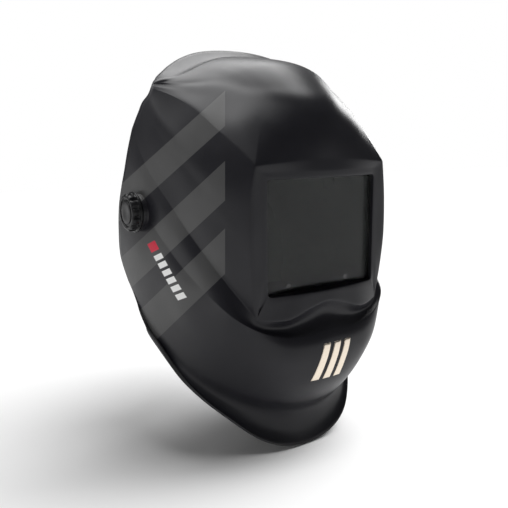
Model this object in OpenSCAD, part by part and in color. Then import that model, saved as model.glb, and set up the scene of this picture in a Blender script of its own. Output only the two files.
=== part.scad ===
// Welding helmet, upright as worn: +Z up, face towards -Y, wearer's left +X.
// Origin: middle of the axis through the two tilt pivots. Millimetres.

/* [Shell] */
// wall thickness of the moulded shell
wall_t = 3; // [2.5:0.1:4]
// wall thickness of the window frame region
frame_t = 4.5; // [4:0.1:5]
// width of the window opening
win_w = 108.4; // [100:0.2:112]
// height of the window opening
win_h = 90; // [84:0.5:94]
// corner radius of the window opening
win_r = 3; // [1:0.5:6]
// how far the lens pocket's floor sits behind the opening's edge plane
pocket_y = 1.4; // [1:0.1:3]
// lean of the window, degrees
win_tilt = 4; // [0:0.5:8]

/* [Pivots] */
// radius of the flat boss moulded round each pivot
boss_r = 16; // [14:0.5:20]
// outer face of the pivot boss, from the middle plane
boss_x = 104.8; // [104:0.1:106]
// radius of the pivot stud
stud_r = 4; // [3:0.5:5]
// radius of the pivot hole in the shell
bore_r = 4.4; // [4.3:0.1:5]
// radius of the side knob's grip
knob_r = 16.5; // [15:0.5:20]
// outer face of the side knob, from the middle plane
knob_x = 114.6; // [113:0.2:120]

/* [Headgear] */
// half width of the headband, outside
band_a = 79.5; // [76:0.5:82]
// front half length of the headband, outside
band_b = 102; // [96:0.5:104]
// height of the headband
band_h = 30; // [24:1:36]
// height of the crown strap above the pivots
crown_z = 90; // [84:1:94]
// radius of the ratchet knob
ratchet_r = 19; // [15:0.5:22]
// teeth on the ratchet pinion
pinion_n = 10; // [8:1:14]

/* [Filter] */
// width of the filter cartridge
adf_w = 114; // [110:0.5:116]
// height of the filter cartridge
adf_h = 99; // [96:0.5:101]
// radius of a setting dial
dial_r = 5.5; // [4:0.5:6]

/* [Hidden] */
$fn = 48;
eps = 0.01;
band_y = 14;
win_o = [0, -125.85, -21.85];

// ---- shell surface: named section rows, top rear rim down to the chin rim.
// Each row: [points from the middle plane to the side rim, corner at the 4th point]
rows = [
 [[[0,-7,142.5],[22,-7,141.5],[42,-8,138],[59,-11,131.5],[72,-15,124],[81,-18.5,117.5],[87,-21.5,113],[90,-24,110],[92,-25,108.2]],0],
 [[[0,-23,131.5],[22,-24,130.5],[41,-26,127],[57,-29.5,121],[70,-32,115.5],[80,-33.5,111.5],[86.5,-33,109.5],[90.4,-29,108.4],[92.5,-25.4,107.4]],0],
 [[[0,-40,131],[21,-41,130],[38,-42,127],[52,-43,121.5],[64,-44,114.5],[75,-42,109.5],[83.5,-38,106.8],[89.5,-32,106.5],[93,-25.8,106.7]],0],
 [[[0,-86,117],[19,-85,116],[33,-82.5,113],[43,-78.5,109.5],[52,-72,106.5],[62,-63,105],[73,-52,104],[83.5,-41,104],[93.4,-26.1,106]],0],
 [[[0,-118,92],[16,-115.5,92.3],[29,-109.5,92.5],[38,-101.5,93.5],[47,-91,95.5],[59,-77,98],[71,-61.5,99.3],[83.5,-44,101.3],[93.8,-26.3,105.2]],0],
 [[[0,-130,76],[16,-127.5,77],[29,-120.5,79.3],[40,-111,82.5],[50,-100,85.8],[61.5,-85,88.7],[73.5,-67,92],[84.5,-46,98.8],[94.2,-26.4,104.4]],0],
 [[[0,-136,57],[20,-134,57],[38,-129,59.3],[51,-120,63.5],[61.5,-109,67],[70,-93,72.3],[78,-72.5,83.4],[85.3,-49,95.2],[94.6,-26.4,103.6]],0],
 [[[0,-137.5,37],[22,-137,36.5],[44,-135,35],[64.8,-131.5,33.4],[69.5,-116,47.5],[74.5,-98,61.5],[79.5,-76,78],[85.7,-52,92],[95,-26.2,102.8]],1],
 [[[0,-137,10],[20,-136,10],[39,-133.5,9.5],[68.4,-129,9],[79,-107,24],[86,-86,42],[90.2,-66,60],[94,-42,78],[96.5,-22.5,97.5]],1],
 [[[0,-135,-17],[20,-134,-17],[39,-131.5,-17],[69,-127.6,-17],[80.5,-104,4],[88,-80,25],[92.5,-60,43],[96,-36,64],[98.5,-14,92]],1],
 [[[0,-134,-36],[20,-133,-36],[39,-130.5,-36],[68.5,-126,-36],[80.2,-102,-11],[88.6,-77,13],[93.3,-55,32],[97,-32,54],[99.7,-9,86]],1],
 [[[0,-132.5,-60],[20,-131.5,-60],[39,-129,-60],[66.3,-123,-60],[79.5,-99.5,-32],[88.8,-72,-3],[93.8,-49,20],[97.8,-26,43],[101,-3,79]],1],
 [[[0,-132,-75.8],[18,-131,-79.7],[39,-129,-86.3],[62.3,-120.3,-83.5],[76.5,-98,-54],[88.2,-67,-18],[94.3,-44.5,8],[98.8,-19,34],[102,3,72]],1],
 [[[0,-126,-87],[20,-125,-91.5],[41,-122.5,-94],[64.5,-117.5,-87.5],[80.5,-102,-64.5],[91.2,-67.5,-32],[96.8,-40.5,-5],[101,-13,24],[103.3,13,55]],0],
 [[[0,-133,-99],[22,-131.7,-101],[44,-128,-99.5],[66.3,-121,-90.3],[82.6,-106,-75.5],[92,-65,-49],[97.3,-36.5,-25],[101.8,-2,6],[104.2,23,36]],0],
 [[[0,-136.3,-109],[23,-134.8,-110.5],[45.5,-130,-108.5],[66.7,-119.3,-98.5],[82.5,-99.5,-84],[93.8,-65,-62],[99.3,-32.5,-38],[103,4,-8],[105.3,38,8]],0],
 [[[0,-135.3,-124],[23,-133.5,-124],[46,-128,-121],[66.3,-114.2,-112],[82,-91,-99],[94,-61,-82],[100,-29,-60],[104.3,7,-34],[105.7,44,-18]],0],
 [[[0,-128.5,-144],[23,-126,-143],[44,-118,-139],[64,-102,-131],[80,-80,-119],[92,-53,-103],[99.5,-24,-83],[104,8,-58],[105.3,45.5,-42]],0],
 [[[0,-113,-163],[23,-111,-161],[44,-103,-156],[63,-88,-147],[79,-68,-135],[91,-44,-120],[99,-17,-101],[103.2,9,-80],[104.2,36,-62]],0],
 [[[0,-97,-177],[23,-95,-175],[44,-88,-169],[62,-75,-160],[78,-57,-147],[90,-38,-132],[98,-13,-112],[102.5,9,-93],[103.5,28,-72]],0],
 [[[0,-93,-193],[25,-92,-190],[47,-86,-182],[65,-73,-169],[80,-55,-154],[91,-37,-138],[98,-13,-118],[102,7,-99],[103.2,24,-77]],0],
 [[[0,-97,-209],[26,-97,-204],[48,-91.5,-192.5],[66,-78,-176],[80.5,-60.5,-160],[91,-42,-142],[97.5,-20,-120],[100.7,0,-104],[103,22,-80]],0]
];
row_breaks = [7, 12, 14];
row_steps = [1,1,3,3,2,2,2,2,2,1,1,1,2,2,1,2,2,2,2,1,1];
nr = len(rows);

function isb(i, n, B) = i == 0 || i == n-1 || len([for (b = B) if (b == i) 1]) > 0;
function ctan(P, i) = (P[i+1] - P[i-1]) / 2;
function tright(P, i, B) = !isb(i, len(P), B) ? ctan(P, i)
    : isb(i+1, len(P), B) ? P[i+1] - P[i] : 1.5*(P[i+1] - P[i]) - 0.5*ctan(P, i+1);
function tleft(P, i, B) = !isb(i, len(P), B) ? ctan(P, i)
    : isb(i-1, len(P), B) ? P[i] - P[i-1] : 1.5*(P[i] - P[i-1]) - 0.5*ctan(P, i-1);
function herm(p, q, u, v, t) = (2*t*t*t - 3*t*t + 1)*p + (t*t*t - 2*t*t + t)*u + (3*t*t - 2*t*t*t)*q + (t*t*t - t*t)*v;
function seg(P, k, t, B) = herm(P[k], P[k+1], tright(P, k, B), tleft(P, k+1, B), t);
function across(r, s) = let (P = rows[r][0], B = rows[r][1] == 1 ? [3] : [], k = min(floor(s), 7), t = s - k)
    herm(P[k], P[k+1], k == 0 ? [P[1][0] - P[0][0], 0, 0] : tright(P, k, B), tleft(P, k+1, B), t);
su = [for (j = [0:16]) j/2];
nu = len(su);
cols = [for (j = [0:nu-1]) [for (r = [0:nr-1]) across(r, su[j])]];
vs = concat([for (r = [0:nr-2]) for (k = [0:row_steps[r]-1]) r + k/row_steps[r]], [nr-1]);
nv = len(vs);
half = [for (i = [0:nv-1]) let (k = min(floor(vs[i]), nr-2), t = vs[i] - k)
    [for (j = [0:nu-1]) seg(cols[j], k, t, row_breaks)]];
function mx(p) = [-p[0], p[1], p[2]];
function hat(v) = v / norm(v);
function du(i, j) = j == 0 ? half[i][1] - mx(half[i][1]) : j == nu-1 ? half[i][j] - half[i][j-1] : half[i][j+1] - half[i][j-1];
function dv(i, j) = let (q = min(j, nu-2)) i == 0 ? half[1][q] - half[0][q] : i == nv-1 ? half[i][q] - half[i-1][q] : half[i+1][q] - half[i-1][q];
function thick(i, j) = j <= 6 && vs[i] >= 7.5 && vs[i] <= 12 ? frame_t : wall_t;
inner = [for (i = [0:nv-1]) [for (j = [0:nu-1]) half[i][j] + thick(i, j)*hat(cross(du(i, j), dv(i, j)))]];
nf = 2*nu - 1;
function full(g, i, k) = k < nu-1 ? mx(g[i][nu-1-k]) : g[i][k-nu+1];
shell_pts = concat([for (i = [0:nv-1]) for (k = [0:nf-1]) full(half, i, k)], [for (i = [0:nv-1]) for (k = [0:nf-1]) full(inner, i, k)]);
function o(i, k) = i*nf + k;
function n(i, k) = nv*nf + i*nf + k;
shell_faces = concat(
    [for (i = [0:nv-2]) for (k = [0:nf-2]) for (f = [[o(i,k), o(i,k+1), o(i+1,k+1)], [o(i,k), o(i+1,k+1), o(i+1,k)]]) f],
    [for (i = [0:nv-2]) for (k = [0:nf-2]) for (f = [[n(i,k), n(i+1,k+1), n(i,k+1)], [n(i,k), n(i+1,k), n(i+1,k+1)]]) f],
    [for (k = [0:nf-2]) for (f = [[o(0,k+1), o(0,k), n(0,k)], [o(0,k+1), n(0,k), n(0,k+1)],
        [o(nv-1,k), o(nv-1,k+1), n(nv-1,k+1)], [o(nv-1,k), n(nv-1,k+1), n(nv-1,k)]]) f],
    [for (i = [0:nv-2]) for (f = [[o(i,0), o(i+1,0), n(i+1,0)], [o(i,0), n(i+1,0), n(i,0)],
        [o(i+1,nf-1), o(i,nf-1), n(i,nf-1)], [o(i+1,nf-1), n(i,nf-1), n(i+1,nf-1)]]) f]);

// ---- helpers
module xcyl(r, x0, x1) translate([min(x0, x1), 0, 0]) rotate([0, 90, 0]) cylinder(r = r, h = abs(x1 - x0));
module xring(r, ri, x0, x1) difference() { xcyl(r, x0, x1); xcyl(ri, min(x0, x1) - 1, max(x0, x1) + 1); }
module ycyl(r, y0, y1) translate([0, y0, 0]) rotate([-90, 0, 0]) cylinder(r = r, h = y1 - y0);
module box(a, b) translate(a) cube(b - a);
module rrect(w, h, r) union() { square([w - 2*r, h], center = true); square([w, h - 2*r], center = true);
    for (x = [-1, 1]) for (y = [-1, 1]) translate([x*(w/2 - r), y*(h/2 - r)]) circle(r); }
// plate in window axes: width along X, height along the leaning Z, depth y0..y1 behind the opening
module slab(w, h, y0, y1, r = 2) translate([0, y1, 0]) rotate([90, 0, 0]) linear_extrude(y1 - y0) rrect(w, h, r);
module win() translate(win_o) rotate([win_tilt, 0, 0]) children();
// lens stack, drawn from a pocket floor at 6, moved to where the floor is
module stk() win() translate([0, pocket_y - 6, 0]) children();
module side(s) mirror([s < 0 ? 1 : 0, 0, 0]) children();
function ell(a, b, t) = [a*sin(t), band_y - b*cos(t)];
module band(a, b, th, t0, t1, z0, z1, n) translate([0, 0, z0]) linear_extrude(z1 - z0)
    polygon(concat([for (i = [0:n]) ell(a, b, t0 + (t1 - t0)*i/n)], [for (i = [n:-1:0]) ell(a - th, b - th, t0 + (t1 - t0)*i/n)]));

// ---- shell
module shell() color([0.1, 0.1, 0.11]) difference() {
    union() {
        polyhedron(points = shell_pts, faces = shell_faces, convexity = 8);
        for (s = [-1, 1]) xcyl(boss_r, s*97.5, s*boss_x);
        // pocket wall behind the window; its front follows the curve of the frame
        win() intersection() {
            slab(119, 103, -12, pocket_y + 6.9, 3);
            rotate([1.2, 0, 0]) translate([0, 208.5, -70]) cylinder(r = 215, h = 140, $fn = 180);
        }
    }
    win() slab(win_w, win_h, -30, 40, win_r);
    win() slab(adf_w + 0.8, adf_h + 0.4, pocket_y, 40, 2.4);
    xcyl(bore_r, -110, 110);
}
// three leaning bars on the chin
module chin_badge() color([0.8, 0.72, 0.58]) intersection() {
    translate([0, -125, -125]) rotate([90, 0, 0]) linear_extrude(14)
        for (x = [-11, 0, 11]) translate([x, 0]) polygon([[-8, -15.5], [-1, -15.5], [8, 15.5], [1, 15.5]]);
    // bars bent to the chin: a curved strip 2 thick
    translate([-30, -69.6, -114]) difference() { xcyl(67, 0, 60, $fn = 120); xcyl(65, -1, 61, $fn = 120); }
}

// ---- window stack
module outer_cover_lens() color([0.5, 0.55, 0.5, 0.4]) stk() slab(adf_w, adf_h - 0.6, 6.1, 7.3, 2);
module lens_gasket() color([0.05, 0.05, 0.05]) stk() difference() { slab(adf_w, adf_h - 0.6, 7.4, 8.5, 2); slab(win_w, 93, 7, 9, 2); }
module adf_case_front() color([0.06, 0.06, 0.07]) stk() difference() {
    slab(adf_w, adf_h - 0.6, 8.6, 12.9, 2); slab(win_w - 0.6, 93, 8, 14, 1.5); }
module filter_glass() color([0.1, 0.2, 0.15, 0.6]) stk() translate([0, 0, 5.7]) slab(win_w - 1, 81, 8.7, 11.2, 1);
module lcd_cell() color([0.1, 0.12, 0.12, 0.8]) stk() translate([0, 0, 5.7]) slab(win_w - 1, 81, 11.3, 12.8, 1);
module solar_strip() color([0.08, 0.06, 0.12]) stk() difference() { translate([0, 0, -40.6]) slab(win_w - 1, 11, 8.7, 10.2, 0.8);
    for (x = [-30, 30]) translate([x, 0, -40.6]) ycyl(2.8, 8, 11); }
module arc_sensors() color([0.2, 0.2, 0.22]) stk() for (x = [-30, 30]) translate([x, 0, -40.6]) ycyl(2.4, 8.6, 10.9);
module circuit_board() color([0.05, 0.3, 0.15]) stk() translate([0, 0, -40.6]) slab(win_w - 2, 11, 11, 12.6, 0.8);
module adf_case_back() color([0.07, 0.07, 0.08]) stk() difference() {
    slab(adf_w, adf_h - 0.6, 13, 18.2, 2.5);
    translate([0, 0, 4.5]) slab(101, 68, 12, 20, 2);
    translate([0, 0, 4.5]) slab(106, 73, 16.2, 20, 2);
    box([32, 13.5, 40.9], [60, 18.0, 46.9]);
    for (x = [-38, -18, 2]) translate([x, 0, -40]) ycyl(2.1, 12, 20);
    translate([20, 0, -40]) ycyl(2.6, 12, 20);
    box([32.6, 12, -41.6], [43.4, 20, -38.4]);
}
module inner_cover_lens() color([0.8, 0.85, 0.85, 0.3]) stk() translate([0, 0, 4.5]) slab(105.4, 72.4, 16.4, 17.4, 2);
module dial(x) color([0.15, 0.15, 0.16]) stk() translate([x, 0, -40]) union() {
    ycyl(1.7, 14, 18.5);
    difference() { ycyl(dial_r, 18.4, 21); for (k = [0:11]) rotate([0, k*30, 0]) translate([dial_r + 0.3, 0, 0]) ycyl(0.8, 18, 22, $fn = 16);
        box([-0.6, 20.4, 0.5], [0.6, 22, dial_r]); }
}
module shade_dial() dial(-38);
module sensitivity_dial() dial(-18);
module delay_dial() dial(2);
module test_button() color([0.75, 0.15, 0.1]) stk() translate([20, 0, -40]) union() { ycyl(2.2, 15, 20.2); ycyl(3.6, 19.4, 20.2); }
module mode_switch() color([0.7, 0.7, 0.7]) stk() union() { box([33, 14, -41.2], [37, 18.8, -38.8]); box([32.6, 18.5, -42], [37.4, 20.4, -38]); }
module battery_drawer() color([0.09, 0.09, 0.1]) stk() difference() {
    union() { box([32.6, 13.8, 41.2], [56.6, 17.7, 46.6]); box([56.6, 13.6, 40.9], [58.2, 18, 46.9]); }
    translate([43.5, 0, 43.9]) box([-9.4, 14.6, -2.2], [9.4, 19, 2.2]); }
module coin_cell() color([0.75, 0.75, 0.76]) stk() translate([43.5, 0, 43.9]) box([-9, 14.8, -1.9], [9, 17.6, 1.9]);
module retainer_frame() color([0.12, 0.12, 0.13]) stk() difference() {
    union() { slab(123, 107, 18.4, 20.4, 4); for (x = [-1, 1]) for (z = [-1, 1]) translate([x*59.9, 0, z*30]) box([-1.3, 13, -5], [1.3, 18.6, 5]); }
    slab(108.5, 93, 18, 21, 3);
    for (x = [-1, 1]) translate([x*58, 0, 0]) box([-2.6, 18, -6.4], [2.6, 21, 6.4]);
}
module latch(s) color([0.3, 0.3, 0.32]) stk() side(s) union() { box([55.7, 18.6, -6], [58.1, 20.2, 6]); box([55.7, 20.2, -5], [57.4, 22, 5]); }
module latch_left() latch(1);
module latch_right() latch(-1);

// ---- headgear
module headband() color([0.13, 0.13, 0.14]) difference() {
    union() { band(band_a, band_b, 2.4, -90, 90, -2, -2 + band_h, 48);
        for (s = [-1, 1]) side(s) box([band_a - 2.4, band_y - eps, -2], [band_a, 52, -2 + band_h]); }
    for (y = [0, 22, 42]) translate([0, y, 13]) xcyl(2.2, -90, 90);
}
module sweatband() color([0.2, 0.2, 0.22]) band(band_a - 2.7, band_b - 2.7, 7, -66, 66, -3, 31, 32);
// shaped side plate with a T track for the sliding pivot carriage
module temple_plate(s) color([0.12, 0.12, 0.13]) side(s) difference() {
    translate([79.6, 0, 1]) rotate([90, 0, 90]) linear_extrude(6.4) rrect(62, 32, 9);
    box([80.7, -18, -9.2], [83.5, 18, 9.2]);
    box([83, -18, -5.2], [87, 18, 5.2]);
    translate([0, 22, 13]) xcyl(2.2, 70, 90);
}
module temple_plate_left() temple_plate(1);
module temple_plate_right() temple_plate(-1);
function arch(a, b, z, t0, t1, k) = [for (i = [0:k]) let (t = t0 + (t1 - t0)*i/k) [a*sin(t), z + b*cos(t)]];
module crown(a, b, t0, t1, y0, y1, tab) translate([0, y1, 0]) rotate([90, 0, 0]) linear_extrude(y1 - y0)
    polygon(concat(tab ? [[a, 2]] : [], arch(a, b, 26, t0, t1, 24), arch(a - 2, b - 2, 26, t1, t0, 24), tab ? [[a - 2, 2]] : []));
module crown_strap_left() color([0.13, 0.13, 0.14]) difference() { crown(74.9, crown_z - 26, 90, -20, -8, 8, true);
    translate([0, 0, 13]) xcyl(2.2, 60, 80);
    for (x = [-18, -6, 6, 18]) translate([x, 0, 70]) cylinder(r = 2.3, h = 30, $fn = 24); }
module crown_strap_right() color([0.14, 0.14, 0.15]) mirror([1, 0, 0]) difference() { crown(72.6, crown_z - 28.3, 90, -20, -8, 8, true);
    translate([0, 0, 13]) xcyl(2.2, 60, 80);
    for (x = [-18, -6, 6, 18]) translate([x, 0, 70]) cylinder(r = 2.3, h = 30, $fn = 24); }
module crown_pegs() color([0.16, 0.16, 0.17]) for (x = [-6, 6]) translate([x, 0, 0]) union() {
    translate([0, 0, 84.6]) cylinder(r = 2.1, h = 6); translate([0, 0, 90.2]) cylinder(r = 3.4, h = 1.4); }
module crown_strap_rear() color([0.13, 0.13, 0.14]) difference() {
    union() { crown(73.3, crown_z - 26, 90, -90, 34, 50, false);
        for (s = [-1, 1]) side(s) box([71.3, 34, 4], [73.3, 50, 26 + eps]); }
    translate([0, 42, 13]) xcyl(2.2, -80, 80); }
module band_rivets() color([0.5, 0.5, 0.52]) for (s = [-1, 1]) side(s) {
    translate([0, 22, 13]) xcyl(2, 77.2, 86);
    translate([0, 42, 13]) union() { xcyl(2, 70.8, 80); xcyl(3.6, 79.6, 80.9); xcyl(3.6, 70, 71.2); }
    translate([0, 0, 13]) union() { xcyl(2, s > 0 ? 72.4 : 70, 78.6); xcyl(3.4, s > 0 ? 71.7 : 69.4, s > 0 ? 72.8 : 70.5); }
}

// ---- rear unit
function rell(a, b, t) = [a*sin(t), 58 + b*cos(t)];
module rear_band(a, b, th, x0, z0, z1) let (t0 = asin(x0/a)) translate([0, 0, z0]) linear_extrude(z1 - z0)
    polygon(concat([for (i = [0:20]) rell(a, b, t0 + (90 - t0)*i/20)], [for (i = [20:-1:0]) rell(a - th, b - th, t0 + (90 - t0)*i/20)]));
module rear_strap() color([0.13, 0.13, 0.14]) for (s = [-1, 1]) side(s) difference() {
    intersection() {
        union() { rear_band(76.3, 58, 2.2, 47.9, -60, 40); box([74.1, 24, -60], [76.3, 58 + eps, 40]); }
        rotate([90, 0, 90]) linear_extrude(100) polygon([[24, 3], [56, 3], [110, -34], [116, -34], [116, -14], [104, -14], [66, 23], [24, 23]]);
    }
    union() { for (y = [42, 54]) translate([0, y, 13]) xcyl(2.5, 60, 90); box([60, 42, 10.5], [90, 54, 15.5]); }
}
module housing_solid() intersection() {
    translate([0, 0, -42]) linear_extrude(36) difference() {
        polygon([for (t = [-90:5:90]) rell(82.3, 64, t)]);
        polygon([for (t = [-90:5:90]) rell(70.3, 52, t)]); }
    box([-46.4, 60, -50], [46.4, 130, 0]); }
module ratchet_housing() color([0.12, 0.12, 0.13]) difference() {
    intersection() { housing_solid(); box([-60, 60, -60], [60, 116.5, 10]); }
    box([-32, 111.6, -37], [32, 117, -11]); }
module ratchet_cover() color([0.14, 0.14, 0.15]) difference() {
    intersection() { housing_solid(); box([-60, 116.6, -60], [60, 130, 10]); }
    translate([0, 0, -24]) ycyl(3.5, 100, 130); }
module rear_pad() color([0.2, 0.2, 0.22]) intersection() {
    translate([0, 0, -39]) linear_extrude(30) difference() {
        polygon([for (t = [-90:5:90]) rell(70.0, 51.6, t)]);
        polygon([for (t = [-90:5:90]) rell(62, 43.6, t)]); }
    box([-36, 60, -50], [36, 130, 0]); }
pitch_r = 0.7*pinion_n;
tooth_p = 2*PI*pitch_r/pinion_n;
module ratchet_pinion() color([0.8, 0.8, 0.78]) translate([0, 115.6, -24]) rotate([90, 0, 0]) linear_extrude(3.4)
    polygon([for (k = [0:pinion_n-1]) for (q = [[-11, pitch_r - 1.3], [-7, pitch_r - 0.2], [-3.4, pitch_r + 0.9], [3.4, pitch_r + 0.9], [7, pitch_r - 0.2], [11, pitch_r - 1.3]])
        [q[1]*sin(k*360/pinion_n + q[0]), q[1]*cos(k*360/pinion_n + q[0])]]);
module ratchet_knob() color([0.1, 0.1, 0.11]) translate([0, 0, -24]) difference() {
    union() { ycyl(3, 115.7, 124); ycyl(ratchet_r, 123.6, 136); }
    for (k = [0:11]) rotate([0, k*30, 0]) translate([ratchet_r + 1.6, 0, 0]) ycyl(3, 122, 138, $fn = 24);
}
function rack_teeth(x0, k) = [for (i = [0:k-1]) for (q = [[-1.55, 1.3], [-0.55, -0.9], [0.55, -0.9], [1.55, 1.3]]) [x0 + i*tooth_p + q[0], q[1]]];
module rack(x0, k) linear_extrude(3.4) polygon(concat(rack_teeth(x0, k), [[x0 + (k-1)*tooth_p + 3, 1.3], [x0 + (k-1)*tooth_p + 3, 4.6], [x0 - 3, 4.6], [x0 - 3, 1.3]]));
module rack_left() color([0.5, 0.5, 0.5]) translate([0, 115.6, -24 + pitch_r]) rotate([90, 0, 0]) rack(-tooth_p*0.5, 5);
module rack_right() color([0.5, 0.5, 0.5]) translate([0, 115.6, -24 - pitch_r]) rotate([90, 0, 0]) mirror([0, 1, 0]) mirror([1, 0, 0]) rack(-tooth_p*(pinion_n % 2 == 0 ? 0.5 : 0), 5);

// ---- pivots
module carriage(s) color([0.11, 0.11, 0.12]) side(s) difference() {
    union() { box([81, -9, -8.8], [83.1, 9, 8.8]); box([83, -9, -4.8], [86.6, 9, 4.8]);
        translate([86.4, 0, 0]) rotate([90, 0, 90]) linear_extrude(4.6) rrect(34, 28, 8); }
    xcyl(stud_r, 87, 92);
}
module carriage_left() carriage(1);
module carriage_right() carriage(-1);
module pivot_stud(s) color([0.6, 0.6, 0.62]) side(s) union() { xcyl(stud_r, 87, knob_x - 3.6); xcyl(7.5, 91.05, 93.1); }
module pivot_stud_left() pivot_stud(1);
module pivot_stud_right() pivot_stud(-1);
module tilt_lever() color([0.14, 0.14, 0.15]) side(-1) difference() {
    union() { xcyl(13, 93.4, 95.1); rotate([-135, 0, 0]) box([93.4, -4, 8], [95.1, 4, 31]); rotate([-135, 0, 0]) box([91, -4.5, 26], [95.1, 4.5, 33]); }
    xcyl(4.5, 90, 99); }
module spacer_disc() color([0.14, 0.14, 0.15]) xring(13, 4.3, 93.4, 95.1);
module friction_washer_left() color([0.25, 0.2, 0.18]) xring(15, 4.3, 95.4, 97.2);
module friction_washer_right() color([0.25, 0.2, 0.18]) xring(15, 4.3, -97.2, -95.4);
module knob_washer_left() color([0.6, 0.6, 0.62]) xring(12, 4.35, boss_x + 0.3, boss_x + 1.2);
module knob_washer_right() color([0.6, 0.6, 0.62]) xring(12, 4.35, -boss_x - 1.2, -boss_x - 0.3);
module side_knob(s) color([0.04, 0.04, 0.045]) side(s) difference() {
    union() { xcyl(knob_r + 1.5, boss_x + 1.3, boss_x + 3.2); xcyl(knob_r, boss_x + 3, knob_x); }
    for (k = [0:11]) rotate([k*30, 0, 0]) translate([0, 0, knob_r + 1.5]) xcyl(3, boss_x + 3.2, knob_x + 2, $fn = 24);
    xring(12.8, 10.2, knob_x - 1.2, knob_x + 2);
    xcyl(7.5, boss_x, knob_x - 3);
}
module knob_left() side_knob(1);
module knob_right() side_knob(-1);
module knob_insert_left() color([0.78, 0.6, 0.3]) xring(7.5, 4.35, 106.6, knob_x - 3.1);
module knob_insert_right() color([0.78, 0.6, 0.3]) xring(7.5, 4.35, 3.1 - knob_x, -106.6);

shell();
chin_badge();
outer_cover_lens();
lens_gasket();
adf_case_front();
filter_glass();
solar_strip();
arc_sensors();
circuit_board();
lcd_cell();
adf_case_back();
inner_cover_lens();
shade_dial();
sensitivity_dial();
delay_dial();
test_button();
mode_switch();
battery_drawer();
coin_cell();
retainer_frame();
latch_left();
latch_right();
headband();
sweatband();
temple_plate_left();
temple_plate_right();
crown_strap_left();
crown_strap_right();
crown_pegs();
crown_strap_rear();
band_rivets();
rear_strap();
rear_pad();
ratchet_housing();
ratchet_cover();
ratchet_knob();
ratchet_pinion();
rack_left();
rack_right();
carriage_left();
carriage_right();
pivot_stud_left();
pivot_stud_right();
tilt_lever();
spacer_disc();
friction_washer_left();
friction_washer_right();
knob_washer_left();
knob_washer_right();
knob_left();
knob_right();
knob_insert_left();
knob_insert_right();
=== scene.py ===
"""Looks of the welding helmet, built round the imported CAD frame. Row frame, metres."""
import math
import bmesh
import bpy
import numpy as np
from mathutils import Matrix, Vector
from mathutils.bvhtree import BVHTree


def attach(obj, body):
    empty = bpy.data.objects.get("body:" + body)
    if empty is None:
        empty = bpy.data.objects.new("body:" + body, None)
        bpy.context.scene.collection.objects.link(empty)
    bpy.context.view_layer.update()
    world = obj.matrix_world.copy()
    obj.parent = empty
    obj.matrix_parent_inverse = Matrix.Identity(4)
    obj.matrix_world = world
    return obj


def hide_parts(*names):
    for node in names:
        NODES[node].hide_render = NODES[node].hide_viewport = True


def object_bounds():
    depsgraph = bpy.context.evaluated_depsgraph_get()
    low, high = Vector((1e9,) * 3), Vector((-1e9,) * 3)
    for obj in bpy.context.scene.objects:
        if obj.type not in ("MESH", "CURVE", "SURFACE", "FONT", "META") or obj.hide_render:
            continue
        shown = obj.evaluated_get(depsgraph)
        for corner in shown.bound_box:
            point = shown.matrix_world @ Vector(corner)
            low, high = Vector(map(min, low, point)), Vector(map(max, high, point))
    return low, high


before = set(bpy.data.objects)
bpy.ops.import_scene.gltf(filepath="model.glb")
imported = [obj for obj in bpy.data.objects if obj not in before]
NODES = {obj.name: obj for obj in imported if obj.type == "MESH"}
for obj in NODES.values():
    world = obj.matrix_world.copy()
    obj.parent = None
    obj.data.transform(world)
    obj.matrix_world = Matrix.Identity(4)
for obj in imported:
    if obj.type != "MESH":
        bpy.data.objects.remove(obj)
CAD_BOX = [list(map(float, p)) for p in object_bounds()]
MM = 0.001

# ------------------------------------------------------------------ materials
def material(name):
    m = bpy.data.materials.new(name)
    m.use_nodes = True
    nt = m.node_tree
    return m, nt, nt.nodes["Principled BSDF"]


def node(nt, kind, inputs=None, **props):
    n = nt.nodes.new(kind)
    for k, v in props.items():
        setattr(n, k, v)
    for k, v in (inputs or {}).items():
        if isinstance(v, bpy.types.NodeSocket):
            nt.links.new(v, n.inputs[k])
        else:
            n.inputs[k].default_value = v
    return n


def math_node(nt, op, a, b=0.0, c=None, clamp=False):
    n = nt.nodes.new("ShaderNodeMath")
    n.operation = op
    n.use_clamp = clamp
    for i, v in enumerate((a, b) if c is None else (a, b, c)):
        if isinstance(v, bpy.types.NodeSocket):
            nt.links.new(v, n.inputs[i])
        else:
            n.inputs[i].default_value = v
    return n.outputs[0]


def coords(nt):
    return nt.nodes.new("ShaderNodeTexCoord").outputs["Object"]


def noise_fac(nt, vec, scale, detail=3.0, rough=0.55):
    return node(nt, "ShaderNodeTexNoise", {"Vector": vec, "Scale": scale, "Detail": detail, "Roughness": rough}).outputs["Fac"]


def remap(nt, fac, a, b, lo=0.3, hi=0.7):
    return node(nt, "ShaderNodeMapRange", {"Value": fac, "From Min": lo, "From Max": hi, "To Min": a, "To Max": b}).outputs["Result"]


def mix_col(nt, fac, a, b):
    n = nt.nodes.new("ShaderNodeMix")
    n.data_type = "RGBA"
    for i, v in ((0, fac), (6, a), (7, b)):
        if isinstance(v, bpy.types.NodeSocket):
            nt.links.new(v, n.inputs[i])
        else:
            n.inputs[i].default_value = v if i == 0 else (*v, 1.0)
    return n.outputs[2]


def bump(nt, bsdf, height, strength, distance, normal=None):
    n = node(nt, "ShaderNodeBump", {"Height": height, "Strength": strength, "Distance": distance})
    if normal is not None:
        nt.links.new(normal, n.inputs["Normal"])
    nt.links.new(n.outputs["Normal"], bsdf.inputs["Normal"])
    return n.outputs["Normal"]


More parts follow.
